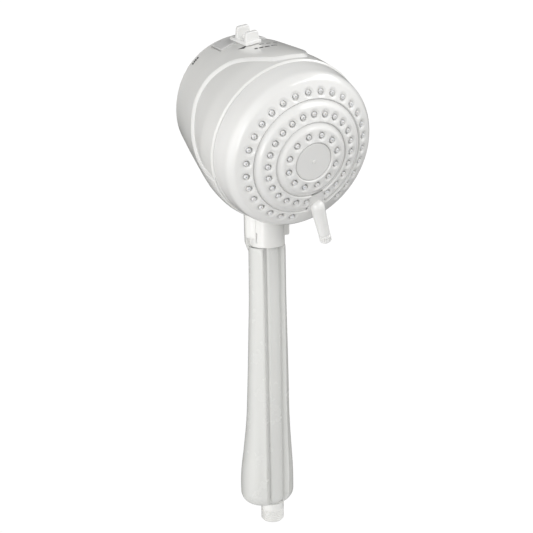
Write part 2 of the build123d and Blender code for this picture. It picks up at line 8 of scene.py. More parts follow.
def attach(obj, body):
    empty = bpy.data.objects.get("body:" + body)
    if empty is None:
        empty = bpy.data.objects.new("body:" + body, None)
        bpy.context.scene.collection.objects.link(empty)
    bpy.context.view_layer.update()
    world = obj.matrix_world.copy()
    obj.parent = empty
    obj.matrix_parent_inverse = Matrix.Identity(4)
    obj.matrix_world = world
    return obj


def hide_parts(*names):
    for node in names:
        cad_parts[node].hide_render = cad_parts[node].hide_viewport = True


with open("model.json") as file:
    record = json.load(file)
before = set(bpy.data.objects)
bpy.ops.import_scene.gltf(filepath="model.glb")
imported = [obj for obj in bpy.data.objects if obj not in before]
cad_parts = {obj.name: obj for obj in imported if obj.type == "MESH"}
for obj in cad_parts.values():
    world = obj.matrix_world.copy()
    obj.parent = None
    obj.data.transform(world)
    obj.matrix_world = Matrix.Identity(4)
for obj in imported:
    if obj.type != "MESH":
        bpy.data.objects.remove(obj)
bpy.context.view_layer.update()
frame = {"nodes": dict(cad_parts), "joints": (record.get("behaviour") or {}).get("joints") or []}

# All sizes are in millimetres; meshes are turned into metres when they are made.
# The drum frame: z out of the spray face, y to the top of the drum, x across.

SPIN = next(j for j in frame["joints"] if j["name"] == "spray_select")
CENTRE = np.array(SPIN["pos_m"], float) * 1000
AXIS = np.array(SPIN["axis"], float) / np.linalg.norm(SPIN["axis"])
RIGHT = np.array([1.0, 0.0, 0.0])
DRUM = np.array([RIGHT, np.cross(AXIS, RIGHT), AXIS])
FIXED = "handle_and_drum"
FACE = "spray_face"
SELECTOR = "bypass_selector"

DRUM_OUTLINE = [
    (54.9, -23.2), (55.7, -26.5), (56.0, -31.0), (55.8, -37.5), (55.1, -45.0), (54.1, -53.0),
    (52.8, -62.0), (51.1, -74.0), (49.1, -86.0), (47.2, -97.0),
]
BAND_OUTLINE = [
    (54.83, -24.6), (54.8, -27.0), (54.7, -31.0), (54.5, -37.5), (53.8, -45.0), (52.8, -53.0), (51.5, -62.0),
    (49.8, -74.0),
]
SEAM = [
    (60.0, -29.2), (57.5, -29.2), (56.0, -29.4), (55.4, -30.2), (54.5, -33.5), (53.2, -38.8), (51.3, -45.0),
    (48.9, -51.0), (45.8, -55.9), (41.5, -59.2), (37.3, -61.3), (32.4, -62.7), (27.7, -63.1), (22.7, -63.0),
    (18.4, -62.4), (14.4, -61.3), (9.7, -59.8), (5.5, -58.4), (0.0, -56.6), (-5.5, -54.0), (-10.7, -50.3),
    (-15.0, -45.2), (-17.3, -39.5), (-18.2, -33.5), (-18.5, -28.0), (-18.5, -20.0),
]
DOME_OUTLINE = [(50.3, -6.2), (51.7, -8.6), (52.6, -12.5), (53.3, -17.0), (53.85, -22.6)]
WALL = 2.4
BEAD_WIDTH = 2.6
SLIM_START = -40.0
SLIM_SHARE = 0.05
DRUM_FRONT = -23.2
DRUM_REAR = -97.0
LEVER_ANGLE = 20.0
KNOB_ANGLE = 12.0
SEAM_TURN = 4.5
SLOT_Z = -85.5
SLOT_HALF_Z = 8.3
SLOT_HALF_DEG = 32.5
SLIDER_RISE = 0.8
SLIDER_HALF_DEG = 19.0
SLOT_DEPTH = 1.5
SADDLE_REAR = -88.0
SADDLE_FRONT = -62.6
SADDLE_HALF_DEG = 6.2
FIN_Z = (-66.2, -78.2)
FIN_TOP_R = 60.6
# Mostly printed marks; the dash at (-7.8, -60.4), just ahead of the knob saddle's front right corner, is a
# painted shadow of the knob.
MARKS_AND_KNOB_SHADOW = [
    (-15.5, -54.3, 2.2, 1.9), (-12.3, -53.3, 2.8, 1.7), (-8.1, -52.5, 3.4, 1.4), (-2.3, -53.3, 4.4, 1.1),
    (-7.8, -60.4, 3.2, 1.0), (-2.3, -60.5, 3.0, 1.0), (3.5, -61.0, 3.0, 1.0), (-46.0, -93.5, 1.3, 2.4),
    (-48.2, -93.5, 1.1, 2.4), (-50.0, -93.5, 1.0, 2.4), (-51.9, -93.5, 1.2, 2.4),
]
ARROW = (-20.4, -63.8, 6.2, 3.4)
DOME_SPHERE = 100.0
DOME_CENTRE = -91.57
OUTER_RING = 42.4
MIDDLE_RING = 30.0
INNER_RING = 17.5
MIDDLE_LIFT = 0.5
INNER_LIFT = 0.9
CUP_R = 2.35
CUP_DEPTH = 2.3
CUP_WALL = 0.4
DISH_R = 3.9
DISH_DEPTH = 1.05
JET_SINK = 0.06
NOTCH_HALF_DEG = 9.5
LEVER_ROOT_R = 37.3
LEVER_END_R = 63.5
HANDLE = [
    (202.0, 13.4, 10.0, 0.5), (166.0, 13.7, 10.3, 1.0), (115.0, 15.1, 11.6, 2.3), (78.0, 15.9, 13.2, 3.8),
    (60.0, 17.3, 14.7, 4.9), (46.0, 18.6, 16.0, 5.9), (34.0, 19.8, 17.3, 6.9), (24.0, 19.6, 17.1, 7.0),
]
HANDLE_BOTTOM = 12.2
FOOT_ROUND = 8.5
COLLAR_R = 11.85
COLLAR_LINE = 204.3
THREAD_R = 8.18
THREAD_PITCH = 1.337
STRIP_CROWN = -9.1
STRIP_HALF = 5.8
STRIP_FLOOR = -6.4
FLANK_SLOPE = 0.8
LOBE_SWELL = 0.9
LOBE_CENTRE = 8.6
LOBE_WIDTH = 1.9
STRIP_LOW = 15.0
STRIP_HIGH = 203.9


# ------------------------------------------------------------------ mesh helpers

def spline(points, count):
    """Smooth curve through points, by chord length, as `count` rows."""
    p = np.array(points, float)
    t = np.concatenate([[0], np.cumsum(np.linalg.norm(np.diff(p, axis=0), axis=1))])
    n = len(p)
    a = np.zeros((n, n))
    b = np.zeros((n, p.shape[1]))
    a[0, 0] = a[-1, -1] = 1
    for i in range(1, n - 1):
        h0, h1 = t[i] - t[i - 1], t[i + 1] - t[i]
        a[i, i - 1:i + 2] = h0, 2 * (h0 + h1), h1
        b[i] = 6 * ((p[i + 1] - p[i]) / h1 - (p[i] - p[i - 1]) / h0)
    m = np.linalg.solve(a, b)
    out = []
    for s in np.linspace(0, t[-1], count):
        i = min(max(np.searchsorted(t, s) - 1, 0), n - 2)
        h = t[i + 1] - t[i]
        u, v = (t[i + 1] - s) / h, (s - t[i]) / h
        out.append(u * p[i] + v * p[i + 1] + ((u ** 3 - u) * m[i] + (v ** 3 - v) * m[i + 1]) * h * h / 6)
    return np.array(out)


def soften(points, radius, steps=4):
    """Closed outline with its corners rounded off by about the given radius."""
    p = np.array(points, float)
    out = []
    for i in range(len(p)):
        a, b, c = p[i - 1], p[i], p[(i + 1) % len(p)]
        cut_a = min(radius, np.linalg.norm(a - b) * 0.45)
        cut_c = min(radius, np.linalg.norm(c - b) * 0.45)
        start = b + (a - b) / np.linalg.norm(a - b) * cut_a
        end = b + (c - b) / np.linalg.norm(c - b) * cut_c
        for k in range(steps + 1):
            t = k / steps
            out.append((1 - t) ** 2 * start + 2 * t * (1 - t) * b + t ** 2 * end)
    return np.array(out)


def grid_faces(rows, cols, wrap_rows, wrap_cols, start=0):
    """Quads over a grid of points, closed in either direction if asked."""
    r = np.arange(rows if wrap_rows else rows - 1)
    c = np.arange(cols if wrap_cols else cols - 1)
    rr, cc = np.meshgrid(r, c, indexing="ij")
    r2, c2 = (rr + 1) % rows, (cc + 1) % cols
    quads = np.stack([rr * cols + cc, rr * cols + c2, r2 * cols + c2, r2 * cols + cc], -1)
    return (quads.reshape(-1, 4) + start).tolist()


def grid_part(points, wrap_rows=True, wrap_cols=True, cap_rows=False, cap_cols=False):
    """Points (rows, cols, 3) as a closed part: list of points and list of faces."""
    rows, cols = points.shape[:2]
    faces = grid_faces(rows, cols, wrap_rows, wrap_cols)
    if cap_rows:
        faces.append(list(range(cols)))
        faces.append([(rows - 1) * cols + c for c in range(cols)])
    if cap_cols:
        faces.append([r * cols for r in range(rows)])
        faces.append([r * cols + cols - 1 for r in range(rows)])
    return points.reshape(-1, 3), faces


def join_parts(parts):
    """Several parts as one list of points and faces."""
    points, faces = [], []
    for p, f in parts:
        start = sum(len(q) for q in points)
        points.append(np.asarray(p))
        faces.extend([[i + start for i in face] for face in f])
    return np.concatenate(points), faces


def add_piece(name, part, body, material, replaces=(), in_drum=True, sharp=38.0):
    """Make a mesh object from a part, shade it and tie it to its body."""
    points, faces = part
    world = CENTRE + points @ DRUM if in_drum else points
    mesh = bpy.data.meshes.new(name)
    mesh.from_pydata((world * 0.001).tolist(), [], faces)
    mesh.validate()
    piece = bpy.data.objects.new(name, mesh)
    bpy.context.scene.collection.objects.link(piece)
    shade(piece, sharp)
    mesh.materials.append(material)
    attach(piece, body)
    if replaces:
        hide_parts(*replaces)
    return piece


def shade(piece, sharp):
    """Outward normals, smooth shading and sharp edges above an angle."""
    bpy.ops.object.select_all(action="DESELECT")
    bpy.context.view_layer.objects.active = piece
    piece.select_set(True)
    bpy.ops.object.mode_set(mode="EDIT")
    bpy.ops.mesh.select_all(action="SELECT")
    bpy.ops.mesh.normals_make_consistent(inside=False)
    bpy.ops.object.mode_set(mode="OBJECT")
    bpy.ops.object.shade_smooth_by_angle(angle=math.radians(sharp))
    piece.select_set(False)


def around(profile, angles, shape=None):
    """Lathe a profile of (radius, height); angles in degrees from the drum's top toward +X."""
    a = np.radians(np.asarray(angles, float))
    r = np.asarray(profile)[:, 0][:, None] * np.ones(len(a))
    z = np.asarray(profile)[:, 1][:, None] * np.ones(len(a))
    if shape is not None:
        r, z = shape(r, np.degrees(a)[None, :] * np.ones_like(r), z)
    return np.stack([r * np.sin(a), r * np.cos(a), z], -1)


def ring_part(profile, count=240, shape=None):
    """Closed lathe part from a closed outline."""
    return grid_part(around(profile, np.arange(count) * 360.0 / count, shape))


def disc_part(profile, count=240, shape=None):
    """Lathe part whose outline starts and ends near the axis."""
    return grid_part(around(profile, np.arange(count) * 360.0 / count, shape), wrap_rows=False, cap_rows=True)


# ------------------------------------------------------------------ materials

def node(tree, kind, **values):
    """Add a shader node and set its inputs by name."""
    made = tree.nodes.new(kind)
    for key, value in values.items():
        if hasattr(made, key):
            setattr(made, key, value)
        else:
            made.inputs[key.replace("_", " ")].default_value = value
    return made


def plastic(name, low, high, rough, rough_spread=0.05, grain=0.0, wave=0.0, coat=0.0, subsurface=0.0):
    """Moulded plastic: clouded colour, uneven gloss, fine grain and the slow waviness of a moulding."""
    material = bpy.data.materials.new(name)
    material.use_nodes = True
    tree = material.node_tree
    bsdf = tree.nodes["Principled BSDF"]
    coord = node(tree, "ShaderNodeTexCoord")
    cloud = node(tree, "ShaderNodeTexNoise", Scale=22.0, Detail=3.0, Roughness=0.5)
    tree.links.new(coord.outputs["Object"], cloud.inputs["Vector"])
    ramp = node(tree, "ShaderNodeValToRGB")
    ramp.color_ramp.elements[0].color = (*low, 1)
    ramp.color_ramp.elements[1].color = (*high, 1)
    ramp.color_ramp.elements[0].position = 0.3
    ramp.color_ramp.elements[1].position = 0.7
    tree.links.new(cloud.outputs["Fac"], ramp.inputs["Fac"])
    tree.links.new(ramp.outputs["Color"], bsdf.inputs["Base Color"])
    smear = node(tree, "ShaderNodeTexNoise", Scale=60.0, Detail=5.0, Roughness=0.6)
    tree.links.new(coord.outputs["Object"], smear.inputs["Vector"])
    gloss = node(tree, "ShaderNodeMapRange")
    gloss.inputs["To Min"].default_value = max(0.02, rough - rough_spread)
    gloss.inputs["To Max"].default_value = rough + rough_spread
    gloss.inputs["From Min"].default_value = 0.3
    gloss.inputs["From Max"].default_value = 0.7
    tree.links.new(smear.outputs["Fac"], gloss.inputs["Value"])
    tree.links.new(gloss.outputs["Result"], bsdf.inputs["Roughness"])
    fine = node(tree, "ShaderNodeTexNoise", Scale=2600.0, Detail=2.0)
    slow = node(tree, "ShaderNodeTexNoise", Scale=34.0, Detail=1.0)
    tree.links.new(coord.outputs["Object"], fine.inputs["Vector"])
    tree.links.new(coord.outputs["Object"], slow.inputs["Vector"])
    bump = node(tree, "ShaderNodeBump", Strength=grain, Distance=0.00006)
    roll = node(tree, "ShaderNodeBump", Strength=wave, Distance=0.0012)
    tree.links.new(slow.outputs["Fac"], roll.inputs["Height"])
    tree.links.new(fine.outputs["Fac"], bump.inputs["Height"])
    tree.links.new(roll.outputs["Normal"], bump.inputs["Normal"])
    tree.links.new(bump.outputs["Normal"], bsdf.inputs["Normal"])
    bsdf.inputs["IOR"].default_value = 1.5
    bsdf.inputs["Coat Weight"].default_value = coat
    bsdf.inputs["Coat Roughness"].default_value = 0.06
    bsdf.inputs["Subsurface Weight"].default_value = subsurface
    bsdf.inputs["Subsurface Radius"].default_value = (0.002, 0.0018, 0.0015)
    return material


def steel(name):
    """Fine drawn stainless steel."""
    material = bpy.data.materials.new(name)
    material.use_nodes = True
    tree = material.node_tree
    bsdf = tree.nodes["Principled BSDF"]
    coord = node(tree, "ShaderNodeTexCoord")
    stretch = node(tree, "ShaderNodeMapping")
    stretch.inputs["Scale"].default_value = (900, 900, 60)
    lines = node(tree, "ShaderNodeTexNoise", Scale=1.0, Detail=3.0)
    ramp = node(tree, "ShaderNodeValToRGB")
    ramp.color_ramp.elements[0].color = (0.42, 0.42, 0.43, 1)
    ramp.color_ramp.elements[1].color = (0.66, 0.66, 0.67, 1)
    tree.links.new(coord.outputs["Object"], stretch.inputs["Vector"])
    tree.links.new(stretch.outputs["Vector"], lines.inputs["Vector"])
    tree.links.new(lines.outputs["Fac"], ramp.inputs["Fac"])
    tree.links.new(ramp.outputs["Color"], bsdf.inputs["Base Color"])
    bump = node(tree, "ShaderNodeBump", Strength=0.25, Distance=0.0001)
    tree.links.new(lines.outputs["Fac"], bump.inputs["Height"])
    tree.links.new(bump.outputs["Normal"], bsdf.inputs["Normal"])
    bsdf.inputs["Metallic"].default_value = 1.0
    bsdf.inputs["Roughness"].default_value = 0.32
    return material


SHELL = plastic("shell_gloss", (0.765, 0.765, 0.75), (0.81, 0.81, 0.795), 0.21, 0.03, 0.04, 0.012, 0.25, 0.05)
FACE_WHITE = plastic("face_gloss", (0.765, 0.765, 0.755), (0.81, 0.81, 0.80), 0.20, 0.03, 0.04, 0.012, 0.3,
                     0.05)
TRIM = plastic("trim_gloss", (0.78, 0.78, 0.77), (0.81, 0.81, 0.80), 0.22, 0.03, 0.04, 0.01, 0.25, 0.05)
# Darker copy of the shell white for the handle: painted shade standing in for the lesser light on the handle.
SHADED_GRIP = plastic("grip_gloss_painted_shade", (0.645, 0.65, 0.635), (0.665, 0.67, 0.652), 0.26, 0.03, 0.05, 0.01, 0.2, 0.05)
SATIN = plastic("satin_white", (0.58, 0.58, 0.58), (0.64, 0.64, 0.635), 0.42, 0.08, 0.35, 0.03)
JET = plastic("jet_silicone", (0.74, 0.745, 0.75), (0.82, 0.82, 0.82), 0.38, 0.08, 0.2, 0.0, 0.0, 0.2)
INNER = plastic("acetal_grey", (0.48, 0.50, 0.52), (0.58, 0.60, 0.62), 0.45, 0.08, 0.3, 0.02)
SEAL = plastic("seal_rubber", (0.02, 0.02, 0.02), (0.05, 0.05, 0.052), 0.6, 0.1, 0.5, 0.0)
FIBRE = plastic("wound_fibre", (0.52, 0.50, 0.45), (0.74, 0.72, 0.66), 0.85, 0.08, 1.0, 0.6)
# Dark ink for the printed marks, also used for the painted knob shadow.
INK_AND_SHADOW = plastic("mark_ink", (0.02, 0.02, 0.025), (0.05, 0.05, 0.055), 0.5, 0.1, 0.3, 0.0)
STEEL = steel("drawn_steel")


# ------------------------------------------------------------------ spray face

def dome_height(radius, lift=0.0):
    """Height of the face sphere at a radius."""
    return DOME_CENTRE + np.sqrt(DOME_SPHERE ** 2 - np.asarray(radius, float) ** 2) + lift


def face_angle(from_lever):
    """Angle from the drum's top toward +X of a direction given from the lever."""
    return 180.0 - (LEVER_ANGLE + from_lever)


def jet_angles(step, skip):
    """Angles from the lever that carry a jet."""
    return [i * step for i in range(round(360 / step)) if min(i * step, 360 - i * step) > skip]


RINGS = {
    "outer": (OUTER_RING, jet_angles(12.0, 13.0), 0.0),
    "middle": (MIDDLE_RING, jet_angles(15.0, 1.0), MIDDLE_LIFT),
    "inner": (INNER_RING, jet_angles(30.0, -1.0), INNER_LIFT),
}


def jet_centres(ring):
    """Jet centres on the skin, in the drum frame."""
    radius, angles, lift = RINGS[ring]
    a = np.radians([face_angle(x) for x in angles])
    z = np.full(len(a), float(dome_height(radius, lift)) - JET_SINK)
    return np.stack([radius * np.sin(a), radius * np.cos(a), z], -1)


def cut_cups(points, ring, depth=CUP_DEPTH):
    """Press a shallow dish with a round cup in its middle into the skin at every jet."""
    flat = points.reshape(-1, 3)
    centres = jet_centres(ring)
    near = np.full(len(flat), 1e9)
    for c in centres:
        near = np.minimum(near, np.linalg.norm(flat - c, axis=1))
    d = near / CUP_R
    fall = np.clip((1 - d) / CUP_WALL, 0, 1)
    bowl = fall * fall * (3 - 2 * fall) * depth
    dish = np.clip(1 - (near / DISH_R) ** 2, 0, None) ** 1.5 * DISH_DEPTH
    radius = np.linalg.norm(flat[:, :2], axis=1)
    normal = np.stack([flat[:, 0], flat[:, 1], np.sqrt(DOME_SPHERE ** 2 - radius ** 2)], -1) / DOME_SPHERE
    flat -= normal * (bowl + dish)[:, None]
    return flat.reshape(points.shape)


def dome_part():
    """Outer dome: cupped skin, rolled shoulder, side and inner wall."""
    edge = float(dome_height(38.8))
    lip = [(38.05, edge - 1.8), (38.05, edge - 0.9), (38.12, edge - 0.76), (38.45, edge - 0.4),
           (38.72, edge - 0.14),
           (38.86, edge - 0.04), (39.0, float(dome_height(39.0)))]
    cup_zone = [(r, dome_height(r)) for r in np.arange(39.2, 46.01, 0.17)]
    shoulder = spline([(46.2, dome_height(46.2)), (47.2, dome_height(47.2)), (48.3, dome_height(48.3))]
                      + DOME_OUTLINE, 64)
    rim = [(53.8, -22.8), (53.6, -22.95), (52.4, -23.0), (52.0, -22.8)]
    back = spline([(51.9, -22.4), (50.9, -17.5), (49.9, -13.0), (48.7, -9.2), (47.0, -6.3), (44.8, -4.6),
                   (41.5, -3.2),
                   (38.6, -1.8)], 30)
    outer = np.array(lip + cup_zone + shoulder.tolist() + rim + back.tolist())
    count = 1440
    points = around(outer, np.arange(count) * 360.0 / count)
    zone = slice(len(lip), len(lip) + len(cup_zone))
    points[zone] = cut_cups(points[zone], "outer")
    ring = grid_part(points)
    tongue_r = np.linspace(26.15, 38.75, 40)
    t = np.clip((38.5 - tongue_r) / 3.5, 0, 1)
    drop = 0.6 * t * t * (3 - 2 * t)
    profile = np.stack([tongue_r, dome_height(tongue_r) - drop], -1)
    under = profile[::-1] - np.array([0, 1.5])
    angles = np.linspace(face_angle(-NOTCH_HALF_DEG - 0.25), face_angle(NOTCH_HALF_DEG + 0.25), 60)
    tongue = grid_part(around(np.concatenate([profile, under]), angles), wrap_cols=False, cap_cols=True)
    return join_parts([ring, tongue])


def middle_part():
    """Middle disc with a bevelled outer band and a notch for the lever."""
    z_out = float(dome_height(38.2))
    skin = [(37.97, z_out - 1.6), (37.97, z_out - 1.1), (37.85, z_out - 0.92), (37.5, z_out - 0.72)]
    rise_end = 34.4
    rise = spline([(37.3, z_out - 0.66), (36.0, z_out + 0.42),
                   (rise_end, float(dome_height(rise_end, MIDDLE_LIFT)) - 0.08),
                   (33.6, float(dome_height(33.6, MIDDLE_LIFT)))], 18)
    flat = [(r, dome_height(r, MIDDLE_LIFT)) for r in np.arange(33.4, 26.0, -0.18)]
    top = float(dome_height(25.7, MIDDLE_LIFT))
    edge = [(25.85, top + 0.0), (25.65, top - 0.06), (25.45, top - 0.22), (25.15, top - 0.56),
            (25.04, top - 0.72),
            (25.0, top - 0.9), (25.0, dome_height(25.0) - 2.2)]
    back = [(27.0, dome_height(27.0) - 2.3), (30.0, dome_height(30.0) - 2.3), (34.0, dome_height(34.0) - 2.3)]
    outline = np.array(skin + rise.tolist() + flat + edge + back)
    half = NOTCH_HALF_DEG
    dense = np.linspace(half, half + 6, 60)
    mid = np.linspace(half + 6, 360 - half - 6, 1500)[1:-1]
    from_lever = np.concatenate([dense, mid, 360 - dense[::-1]])
    points = around(outline, face_angle(from_lever))
    zone = slice(len(skin) + len(rise), len(skin) + len(rise) + len(flat))
    points[zone] = cut_cups(points[zone], "middle")
    top = slice(0, len(skin) + len(rise) + len(flat) + len(edge) - 1)
    away = np.minimum(from_lever, 360 - from_lever) - half
    radius = np.linalg.norm(points[..., :2], axis=-1)
    gap = radius * np.radians(away)[None, :]
    slope = np.clip(1 - gap / 2.0, 0, 1)
    fall = 1.25 * slope ** 1.15
    keep_rim = np.clip((radius - 25.6) / 1.2, 0, 1)
    points[top, :, 2] -= (fall * keep_rim)[top]
    return grid_part(points, wrap_cols=False, cap_cols=True)


def inner_part():
    """Inner disc with twelve cups and a bevelled outer band."""
    z_in = float(dome_height(24.6))
    skin = [(24.94, z_in - 2.0), (24.94, z_in - 1.0), (24.8, z_in - 0.8), (24.3, z_in - 0.55)]
    rise = spline([(24.2, z_in - 0.5), (22.6, z_in + 0.62),
                   (21.3, float(dome_height(21.3, INNER_LIFT)) - 0.08),
                   (20.5, float(dome_height(20.5, INNER_LIFT)))], 18)
    flat = [(r, dome_height(r, INNER_LIFT)) for r in np.arange(20.3, 13.9, -0.18)]
    top = float(dome_height(13.3, INNER_LIFT))
    edge = [(13.7, top + 0.0), (13.45, top - 0.02), (13.2, top - 0.16), (12.85, top - 0.6),
            (12.72, top - 0.8),
            (12.66, dome_height(12.6) - 2.0)]
    back = [(17.5, dome_height(17.5) - 2.1), (21.0, dome_height(21.0) - 2.1)]
    points = around(np.array(skin + rise.tolist() + flat + edge + back), np.arange(900) * 0.4)
    zone = slice(len(skin) + len(rise), len(skin) + len(rise) + len(flat))
    points[zone] = cut_cups(points[zone], "inner")
    return grid_part(points)


def jets_part(ring):
    """Silicone nubs of one ring, each with its own bore."""
    centres = jet_centres(ring)
    profile = soften([(0.25, -4.2), (1.5, -4.2), (1.4, -1.2), (1.22, -0.1), (0.3, -0.02), (0.25, -1.0)], 0.3,
                     4)
    parts = []
    for c in centres:
        angles = np.arange(28) * 360.0 / 28
        points = around(profile, angles)
        parts.append(grid_part(points + c))
    return join_parts(parts)


def bar_part(profile, start, direction, count=72, shape=None):
    """Lathe part standing along a direction in the drum frame."""
    z = direction / np.linalg.norm(direction)
    x = np.cross([0, 0, 1.0], z)
    x = x / np.linalg.norm(x)
    basis = np.array([x, np.cross(z, x), z])
    points, faces = disc_part(profile, count, shape)
    return points @ basis + start, faces


def lever_line():
    """Root and end of the lever in the drum frame."""
    a = math.radians(face_angle(0))
    root = np.array([LEVER_ROOT_R * math.sin(a), LEVER_ROOT_R * math.cos(a), 2.2])
    end = np.array([LEVER_END_R * math.sin(a), LEVER_END_R * math.cos(a), 5.8])
    return root, end


def build_face():
    """All shown pieces of the turning spray face."""
    add_piece("outer_dome", dome_part(), FACE, FACE_WHITE, ["face_dome"])
    add_piece("jet_disc_middle", middle_part(), FACE, FACE_WHITE, ["middle_disc"])
    add_piece("jet_disc_inner", inner_part(), FACE, FACE_WHITE, ["inner_disc"])
    top = float(dome_height(12.6)) + 0.25
    cap_rows = np.array([(0.02, top), (4, top - 0.01), (8, top - 0.03), (11.2, top - 0.05),
                         (11.9, top - 0.08),
                         (12.3, top - 0.25), (12.5, top - 0.6), (12.5, top - 2.0), (4, top - 2.2),
                         (3, top - 4),
                         (3, -9.0), (0.02, -9.6)])
    add_piece("face_cap", disc_part(cap_rows, 200), FACE, FACE_WHITE, ["centre_cap"])
    pip = np.array([(1.3, top - 0.3), (1.3, top + 0.1), (1.22, top + 0.24), (1.0, top + 0.34),
                    (0.6, top + 0.39),
                    (0.02, top + 0.4)])
    add_piece("face_cap_pip", disc_part(pip, 48), FACE, TRIM, ["centre_pip"])
    for ring in RINGS:
        add_piece("jets_" + ring, jets_part(ring), FACE, JET, [ring + "_nozzles"])
    build_lever()


def build_lever():
    """Lever with a rounded root and a ridged end cap."""
    root, end = lever_line()
    along = end - root
    length = np.linalg.norm(along)
    joint = length - 5.2
    body = spline([(0.02, -4.7), (2.4, -4.1), (4.1, -2.2), (4.7, 0.3), (4.55, 3.6), (4.3, 8.0), (4.0, 14.0),
                   (3.75, joint - 0.6)], 60)
    body = np.concatenate([body, [(3.62, joint - 0.2), (3.4, joint), (0.02, joint)]])
    add_piece("spray_lever", bar_part(body, root, along), FACE, TRIM, ["selector_lever"])
    rows = [(0.02, joint + 0.05), (3.5, joint + 0.05), (3.85, joint + 0.3), (3.9, joint + 0.6),
            (3.62, joint + 0.85)]
    rows += [(3.95, joint + 1.15 + 0.35 * i) for i in range(9)]
    rows += [(3.8, joint + 4.6), (3.4, joint + 5.0), (2.4, joint + 5.15), (0.02, joint + 5.2)]
    grip_low, grip_high = joint + 1.1, joint + 4.2

    def ribs(r, a, z):
        band = np.clip((z - grip_low) / 0.3, 0, 1) * np.clip((grip_high - z) / 0.3, 0, 1)
        return r - band * 0.42 * (0.5 - 0.5 * np.cos(np.radians(a) * 16)), z

    add_piece("lever_grip_cap", bar_part(np.array(rows), root, along, 192, ribs), FACE, TRIM,
              ["lever_tip"])


# ------------------------------------------------------------------ drum

def skin_radius(z):
    """Drum radius at a height."""
    curve = spline(DRUM_OUTLINE, 200)
    return np.interp(-np.asarray(z, float), -curve[:, 1], curve[:, 0])


def seam_curve():
    """Seam as drum angle (from the top) and height, one side only."""
    side = spline(SEAM, 1500)
    radius = skin_radius(side[:, 1])
    on_skin = np.abs(side[:, 0]) < radius
    angle = np.degrees(np.arccos(np.clip(side[:, 0] / radius, -1, 1)))[on_skin]
    height = side[:, 1][on_skin]
    order = np.argsort(angle)
    return np.concatenate([[0], angle[order]]), np.concatenate([[height[order][0]], height[order]])


def seam_front():
    """The bead's front edge: the seam moved forward by the bead's width over the skin."""
    angle, height = seam_curve()
    arc = np.radians(angle) * skin_radius(height)
    step_a, step_z = np.gradient(arc), np.gradient(height)
    length = np.hypot(step_a, step_z) + 1e-9
    moved_a = arc - step_z / length * BEAD_WIDTH
    moved_z = height + step_a / length * BEAD_WIDTH
    moved_deg = np.degrees(moved_a / skin_radius(moved_z))
    order = np.argsort(moved_deg)
    return moved_deg[order], moved_z[order]


def seam_at(angles, curve):
    """Seam height at signed drum angles, never ahead of the drum front."""
    a = np.abs((np.asarray(angles, float) + SEAM_TURN + 180) % 360 - 180)
    return np.minimum(np.interp(a, curve[0], curve[1], right=DRUM_FRONT), DRUM_FRONT)


def columns(count, extra=()):
    """Even angles round the drum with some exact ones added."""
    even = np.arange(count) * 360.0 / count - 180.0
    return np.unique(np.round(np.concatenate([even, list(extra)]), 5))


def housing_part():
    """Rear housing: seam edge, skin with the selector slot, rear rim and inner wall."""
    edge = SLOT_HALF_DEG
    marks = [s * (edge + d) for s in (-1, 1) for d in (-0.22, -0.05, 0.05, 0.22)]
    angles = columns(1080, marks)
    seam = seam_at(angles, seam_curve())
    split = -66.0
    rows = []
    for inset, back in ((WALL, 0.0), (0.62, 0.0), (0.3, 0.05), (0.1, 0.2), (0.0, 0.45)):
        z = np.minimum(seam - back, seam)
        rows.append((skin_radius(z) - inset, z))
    for t in np.linspace(0, 1, 46)[1:]:
        z = (seam - 0.45) * (1 - t) + split * t
        rows.append((skin_radius(z), z))
    front, rear = SLOT_Z + SLOT_HALF_Z, SLOT_Z - SLOT_HALF_Z
    levels = list(np.linspace(split, front + 0.3, 14)[1:]) + [front + 0.12, front + 0.02, front - 0.02,
                                                              front - 0.15]
    levels += list(np.linspace(front - 0.4, rear + 0.4, 16)) + [rear + 0.15, rear + 0.02, rear - 0.02,
                                                                rear - 0.12]
    levels += list(np.linspace(rear - 0.4, DRUM_REAR + 0.3, 8)) + [DRUM_REAR + 0.1]
    for z in levels:
        inside = np.clip((front - z) / 0.04 + 0.5, 0, 1) * np.clip((z - rear) / 0.04 + 0.5, 0, 1)
        across = np.clip((edge - np.abs(angles)) / 0.1 + 0.5, 0, 1)
        rows.append((skin_radius(z) - SLOT_DEPTH * inside * across, np.full(len(angles), z)))
    rows.append((np.full(len(angles), skin_radius(DRUM_REAR) - 0.25), np.full(len(angles), DRUM_REAR)))
    rows.append((np.full(len(angles), skin_radius(DRUM_REAR) - WALL), np.full(len(angles), DRUM_REAR)))
    for z in np.linspace(DRUM_REAR, split, 10)[1:]:
        rows.append((np.full(len(angles), skin_radius(z) - WALL), np.full(len(angles), z)))
    for t in np.linspace(0, 1, 12)[1:-1]:
        z = split * (1 - t) + seam * t
        rows.append((skin_radius(z) - WALL, z))
    a = np.radians(angles)
    points = np.array([np.stack([r * np.sin(a), r * np.cos(a), z], -1) for r, z in rows])
    return grid_part(points)


def band_radius(z):
    """Radius of the middle band at a height."""
    curve = spline(BAND_OUTLINE, 160)
    return np.interp(-np.asarray(z, float), -curve[:, 1], curve[:, 0])


